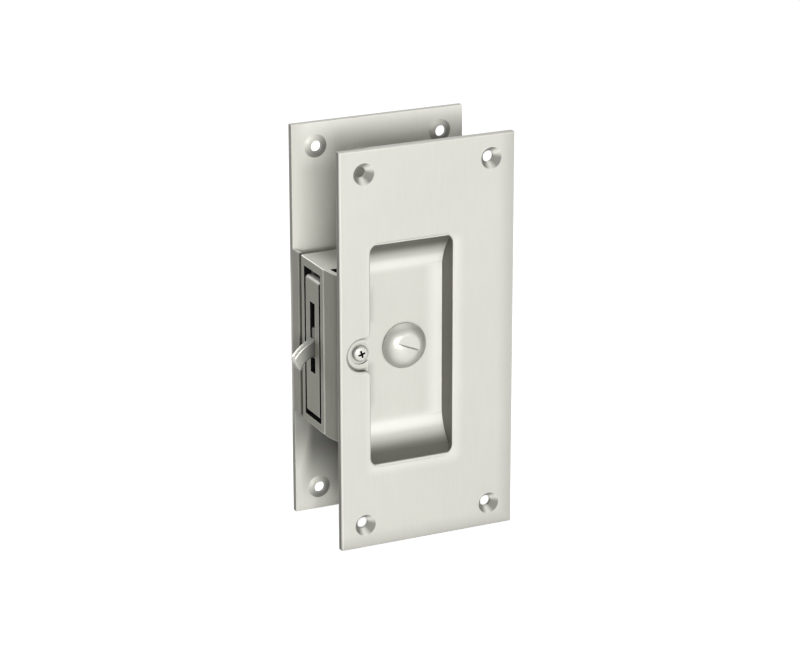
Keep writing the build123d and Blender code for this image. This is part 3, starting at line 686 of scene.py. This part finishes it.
# Hook: toothed hub from the node, joined to a smooth arm with rounded edges, in millimetres and degrees
HOOK_Y = (20.8, 24.0)
REACH = 15.1
TIP_ANGLE = 197.7
BEAK_ANGLE = 222.6
ARM_ROUND = 0.95
BEAK_SHARE = 0.3
BEAK_FADE = (0.3, 3.4)
HUB_X = EDGE_X + 0.45
HOOK_CREASE = 40


def on_circle(radius, angle):
    turn = math.radians(angle)
    return Vector((HOOK[0] + radius * math.cos(turn), HOOK[1] + radius * math.sin(turn)))


def arc_through(first, middle, last, count):
    ax, ay, bx, by, cx, cy = *first, *middle, *last
    a, b, c = ax * ax + ay * ay, bx * bx + by * by, cx * cx + cy * cy
    d = 2 * (ax * (by - cy) + bx * (cy - ay) + cx * (ay - by))
    ux = (a * (by - cy) + b * (cy - ay) + c * (ay - by)) / d
    uy = (a * (cx - bx) + b * (ax - cx) + c * (bx - ax)) / d
    start = math.atan2(ay - uy, ax - ux)
    via = (math.atan2(by - uy, bx - ux) - start) % (2 * math.pi)
    sweep = (math.atan2(cy - uy, cx - ux) - start) % (2 * math.pi)
    if via > sweep:
        sweep -= 2 * math.pi
    radius = math.hypot(ax - ux, ay - uy)
    turns = [start + sweep * k / count for k in range(count + 1)]
    return [Vector((ux + radius * math.cos(turn), uy + radius * math.sin(turn))) for turn in turns]


# Replaces the corner between two runs of points by a smooth curve
def blend(first, second, leg, count=8):
    while len(first) > 2 and (first[-2] - second[0]).length < leg:
        first.pop()
    corner = second[0].copy()
    first.pop()
    while len(second) > 2 and (second[1] - corner).length < leg:
        second.pop(0)
    second.pop(0)
    a, b = first[-1], second[0]
    bend = []
    for k in range(1, count):
        t = k / count
        bend.append(a * (1 - t) ** 2 + corner * 2 * t * (1 - t) + b * t * t)
    return first + bend + second


def hook_outline():
    shoulder = Vector((EDGE_X + 0.4, HOOK[1] + 2.3))
    heel = Vector((EDGE_X + 1.0, HOOK[1] - 5.0))
    hub_top = Vector((HOOK[0] - 1.0, HOOK[1] + 2.4))
    hub_low = Vector((HOOK[0] - 1.0, HOOK[1] - 4.6))
    tip, beak = on_circle(REACH, TIP_ANGLE), on_circle(REACH, BEAK_ANGLE)
    outer = arc_through(shoulder, on_circle(REACH * 0.69, 182.5), tip, 36)
    end = arc_through(tip, on_circle(REACH, (TIP_ANGLE + BEAK_ANGLE) / 2), beak, 24)
    inner = arc_through(beak, on_circle(REACH * 0.735, 215.5), heel, 30)
    path = blend(outer, end, 1.5)
    path = blend(path, inner, 2.0)
    return [hub_top] + path + [hub_low]


# The outline moved inwards, less so towards the sharp beak
def inset(points, amount):
    beak = on_circle(REACH, BEAK_ANGLE)
    area = sum(a.x * b.y - b.x * a.y for a, b in zip(points, points[1:] + points[:1]))
    side = 1 if area > 0 else -1
    result = []
    for k, point in enumerate(points):
        before = (point - points[k - 1]).normalized()
        after = (points[(k + 1) % len(points)] - point).normalized()
        along = (before + after).normalized()
        fade = BEAK_SHARE + (1 - BEAK_SHARE) * smooth(*BEAK_FADE, (point - beak).length)
        result.append(point + Vector((-along.y, along.x)) * amount * side * fade)
    return result


def hook_arm():
    outline = hook_outline()
    half, middle = (HOOK_Y[1] - HOOK_Y[0]) / 2, (HOOK_Y[0] + HOOK_Y[1]) / 2
    turns = [math.radians(15 * k) for k in range(7)]
    levels = [(half - ARM_ROUND + ARM_ROUND * math.sin(t), ARM_ROUND * (1 - math.cos(t))) for t in turns]
    layers = [(-y, amount) for y, amount in reversed(levels)] + levels
    bm = bmesh.new()
    rings = []
    for y, amount in layers:
        rings.append([bm.verts.new((p.x * MM, (middle + y) * MM, p.y * MM)) for p in inset(outline, amount)])
    count = len(outline)
    for low, high in zip(rings, rings[1:]):
        for k in range(count):
            j = (k + 1) % count
            bm.faces.new((low[k], low[j], high[j], high[k]))
    bm.faces.new(rings[0])
    bm.faces.new(list(reversed(rings[-1])))
    return closed_mesh(bm, "hook_arm")


def make_hook():
    hub = nodes["hook_bolt"].data.copy()
    bm = bmesh.new()
    bm.from_mesh(hub)
    bmesh.ops.remove_doubles(bm, verts=bm.verts, dist=SAME_POINT)
    whole = bm.verts[:] + bm.edges[:] + bm.faces[:]
    bmesh.ops.bisect_plane(bm, geom=whole, plane_co=(HUB_X * MM, 0, 0), plane_no=(-1, 0, 0), clear_outer=True)
    bmesh.ops.holes_fill(bm, edges=[e for e in bm.edges if e.is_boundary])
    bmesh.ops.recalc_face_normals(bm, faces=bm.faces)
    bm.to_mesh(hub)
    bm.free()
    mesh = combined_mesh(hub, [hook_arm()], "UNION")
    smooth_mesh(mesh, HOOK_CREASE)
    hook = link_piece("hook_bolt_finish", mesh)
    even_normals(hook, True)
    finish_piece(hook, "hook_bolt", [hook_steel])


make_hook()


# Domed heads on grooved shanks with a square bore: turn knob and release button, in millimetres
SHANK = 5.5
GROOVE = 4.7
BORE_HALF = 2.55
DOME_STEPS = 48
DOME_INSET = 0.25
RIM_HEIGHT = 0.8
RIM_BEND = ((0.10, 0.10), (0.02, 0.24), (0.0, 0.40))
BASE_BREAK = 0.15
END_BREAK = 0.2
TURNED_CREASE = 35


def dome_profile(radius, height, base, way, groove, end):
    apex = base - way * height
    arch = height - RIM_HEIGHT
    ball = (radius ** 2 + arch ** 2) / (2 * arch)
    span = math.asin((radius - DOME_INSET) / ball)
    points = [(0, apex)]
    for k in range(1, DOME_STEPS + 1):
        angle = span * k / DOME_STEPS
        points.append((ball * math.sin(angle), apex + way * ball * (1 - math.cos(angle))))
    rim = points[-1][1]
    points += [(radius - inwards, rim + way * down) for inwards, down in RIM_BEND]
    points += [(radius, base - way * BASE_BREAK), (radius - BASE_BREAK, base)]
    points += [(SHANK, base), (SHANK, groove[0])]
    points += [(GROOVE, groove[0]), (GROOVE, groove[1]), (SHANK, groove[1])]
    points += [(SHANK, end - way * END_BREAK), (SHANK - END_BREAK, end), (0, end)]
    return points


def square_bore(y0, y1):
    return block_mesh("bore", TURN, BORE_HALF, BORE_HALF, y0, y1)


def make_domed(name, body, cutters):
    mesh = combined_mesh(body, cutters)
    smooth_mesh(mesh, TURNED_CREASE)
    finish_piece(link_piece(name + "_finish", mesh), name, [satin_knob])


# Finger ledge across the knob's dome: its turn, its level, and where it starts and ends, in millimetres
KNOB_BASE = 6.7
KNOB_HEIGHT = 5.0
LEDGE_TURN = math.radians(-22.0)
LEDGE_Y = KNOB_BASE - KNOB_HEIGHT + 1.1
LEDGE_END_Y = 5.0
LEDGE_SOFT = 0.18
LEDGE_START = (0.15, 0.65)


def knob_ledge(u, w, y):
    if y > LEDGE_END_Y:
        return y
    across = w * math.cos(LEDGE_TURN) - u * math.sin(LEDGE_TURN)
    flat = (y + LEDGE_Y + math.sqrt((y - LEDGE_Y) ** 2 + LEDGE_SOFT ** 2)) / 2
    return y + (max(flat, y) - y) * smooth(*LEDGE_START, across)


knob = dome_profile(8.75, KNOB_HEIGHT, KNOB_BASE, 1, (9.35, 10.15), 11.15)
make_domed("turn_knob", turned_mesh("turn_knob_finish", TURN, knob, 128, knob_ledge), [square_bore(6.1, 12.0)])

# Coin slot across the release button's dome
SLOT_HALF = (15.0, 0.9)
release = dome_profile(7.5, 3.4, 36.8, -1, (34.65, 33.85), 33.55)
release_top = release[0][1]
coin_slot = block_mesh("slot", TURN, *SLOT_HALF, release_top + 0.5, release_top - 2.0)
make_domed("release_button", turned_mesh("release_button_finish", TURN, release, 96),
           [coin_slot, square_bore(30.0, 37.4)])


# Pan-head fixing screws with a tapered cross recess and thread ridges, in millimetres and degrees
HEAD_RADIUS = 3.1
HEAD_HEIGHT = 2.2
HEAD_DOME = 1.35
HEAD_STEPS = 14
NECK = 2.0
PITCH = 0.7
ROOT = 1.62
CREST = 1.98
CREST_Y = (0.3, 0.4)
END_RADIUS = 1.3
WING = (1.45, 0.42)
WING_Y = (-0.6, 1.5)
WING_DRAFT = 0.12
WING_TURN = -18.0


def make_screw(name, way):
    reach = sorted(v.co.y * way / MM for v in nodes[name].data.vertices)
    head, end = reach[0] * way, reach[-1] * way
    seat = head + way * HEAD_HEIGHT
    profile = [(0, head)]
    for k in range(1, HEAD_STEPS + 1):
        angle = math.radians(90.0 * k / HEAD_STEPS)
        profile.append((HEAD_RADIUS * math.sin(angle) ** 0.8, head + way * HEAD_DOME * (1 - math.cos(angle))))
    profile += [(HEAD_RADIUS, seat - way * 0.15), (HEAD_RADIUS - 0.1, seat), (NECK, seat)]
    y = seat + way * 0.5
    for k in range(int(abs(end - seat) / PITCH) - 1):
        profile += [(ROOT, y), (CREST, y + way * CREST_Y[0]), (CREST, y + way * CREST_Y[1])]
        y += way * PITCH
    profile += [(ROOT, y), (ROOT, end - way * 0.3), (END_RADIUS, end), (0, end)]
    centre = Matrix.Translation((SCREW[0] * MM, 0, SCREW[1] * MM))
    cross = []
    for half_x, half_z in (WING, WING[::-1]):
        y0, y1 = (head + way * depth for depth in WING_Y)
        wing = block_mesh("wing", (0, 0), half_x, half_z, y0, y1, WING_DRAFT)
        wing.transform(centre @ Matrix.Rotation(math.radians(WING_TURN), 4, "Y"))
        # The cross recess gets the near-black painted shade
        wing.materials.append(recess)
        cross.append(wing)
    body = turned_mesh(name, SCREW, profile, 64)
    body.materials.append(satin_knob)
    mesh = combined_mesh(body, cross, bring_material=True)
    smooth_mesh(mesh, TURNED_CREASE)
    finish_piece(link_piece(name + "_finish", mesh), name, list(mesh.materials))


make_screw("front_fixing_screw", 1)
make_screw("rear_fixing_screw", -1)

for name, obj in nodes.items():
    obj.data.materials.clear()
    obj.data.materials.append(finish[slot_of[name]])


# Stage: floor and world are white where they are seen or mirrored, and light the lock only a little
FLOOR_HALF = 3.0
FLOOR_GAP = 0.0002
FLOOR_GREY = (0.45, 0.45, 0.45)
FLOOR_GLOW = 0.93
WORLD_LIGHT = 0.03


def seen_ray(tree):
    path = tree.nodes.new("ShaderNodeLightPath")
    seen = larger(tree, path.outputs["Is Camera Ray"], path.outputs["Is Glossy Ray"])
    return larger(tree, seen, path.outputs["Is Transmission Ray"])


def mix_by_ray(tree, plain, seen, out):
    mix = tree.nodes.new("ShaderNodeMixShader")
    tree.links.new(seen_ray(tree), mix.inputs["Fac"])
    tree.links.new(plain, mix.inputs[1])
    tree.links.new(seen, mix.inputs[2])
    tree.links.new(mix.outputs["Shader"], out.inputs["Surface"])


def floor_material():
    mat, tree = new_material("floor_white")
    out = tree.nodes.new("ShaderNodeOutputMaterial")
    matt = tree.nodes.new("ShaderNodeBsdfDiffuse")
    feed(tree, matt.inputs["Color"], FLOOR_GREY)
    glow = tree.nodes.new("ShaderNodeEmission")
    glow.inputs["Strength"].default_value = FLOOR_GLOW
    bright = tree.nodes.new("ShaderNodeAddShader")
    tree.links.new(matt.outputs["BSDF"], bright.inputs[0])
    tree.links.new(glow.outputs["Emission"], bright.inputs[1])
    mix_by_ray(tree, matt.outputs["BSDF"], bright.outputs["Shader"], out)
    return mat


def make_floor():
    bm = bmesh.new()
    bmesh.ops.create_grid(bm, x_segments=1, y_segments=1, size=FLOOR_HALF)
    mesh = bpy.data.meshes.new("floor")
    bm.to_mesh(mesh)
    bm.free()
    floor = link_piece("floor", mesh)
    floor.location = (0, 0, cad_box[0][2] - FLOOR_GAP)
    mesh.materials.append(floor_material())


def background(tree, strength):
    node = tree.nodes.new("ShaderNodeBackground")
    feed(tree, node.inputs["Color"], WHITE)
    node.inputs["Strength"].default_value = strength
    return node.outputs["Background"]


def make_world():
    world = bpy.data.worlds.new("studio")
    bpy.context.scene.world = world
    world.use_nodes = True
    tree = world.node_tree
    tree.nodes.clear()
    out = tree.nodes.new("ShaderNodeOutputWorld")
    mix_by_ray(tree, background(tree, WORLD_LIGHT), background(tree, 1.0), out)


make_floor()
make_world()


# Lamps: place, aim and size in metres, power in watts
def area_light(name, place, aim, size, power):
    data = bpy.data.lights.new(name, "AREA")
    data.shape = "RECTANGLE"
    data.size, data.size_y = size
    data.energy = power
    obj = bpy.data.objects.new(name, data)
    bpy.context.scene.collection.objects.link(obj)
    obj.location = place
    way = Vector(aim) - Vector(place)
    obj.rotation_euler = way.to_track_quat("-Z", "Y").to_euler()
    return obj


area_light("front", (-0.42, -1.56, 0.25), (0, 0.02, 0), (0.66, 0.46), 22.2)
area_light("left", (-1.55, 0.12, 0.25), (0, 0.02, 0), (0.5, 0.5), 4.0)
area_light("mirror", (0.65, -1.4, 0.60), (0, 0, 0), (0.25, 0.25), 1.5).visible_diffuse = False
area_light("top", (0.0, 0.3, 1.3), (0, 0.05, 0), (0.9, 0.9), 6.0)
area_light("back", (-0.60, 1.55, 0.45), (0, 0.04, 0), (0.8, 0.6), 13.0)

# Camera fitted to the plates' edges: degrees, millimetres, and the focal length and photo width in pixels
AZIMUTH = -25.226
ELEVATION = 18.838
ROLL = -0.086
DISTANCE = 1103.363
TARGET = (0.498, 22.0, -2.536)
FOCAL = 2953.739
PHOTO_WIDTH = 800.0
SENSOR = 36.0


def make_camera():
    turn, tilt, roll = (math.radians(angle) for angle in (AZIMUTH, ELEVATION, ROLL))
    back = Vector((math.sin(turn) * math.cos(tilt), -math.cos(turn) * math.cos(tilt), math.sin(tilt)))
    level = Vector((math.cos(turn), math.sin(turn), 0.0))
    upright = back.cross(level)
    right = level * math.cos(roll) + upright * math.sin(roll)
    up = upright * math.cos(roll) - level * math.sin(roll)
    eye = (Vector(TARGET) + back * DISTANCE) * MM
    data = bpy.data.cameras.new("camera")
    data.sensor_fit = "HORIZONTAL"
    data.sensor_width = SENSOR
    data.lens = FOCAL * SENSOR / PHOTO_WIDTH
    data.clip_start = 0.05
    camera = bpy.data.objects.new("camera", data)
    bpy.context.scene.collection.objects.link(camera)
    rows = [(right[i], up[i], back[i], eye[i]) for i in range(3)]
    camera.matrix_world = Matrix((*rows, (0, 0, 0, 1)))
    bpy.context.scene.camera = camera


make_camera()
bpy.context.scene.view_settings.view_transform = "Standard"
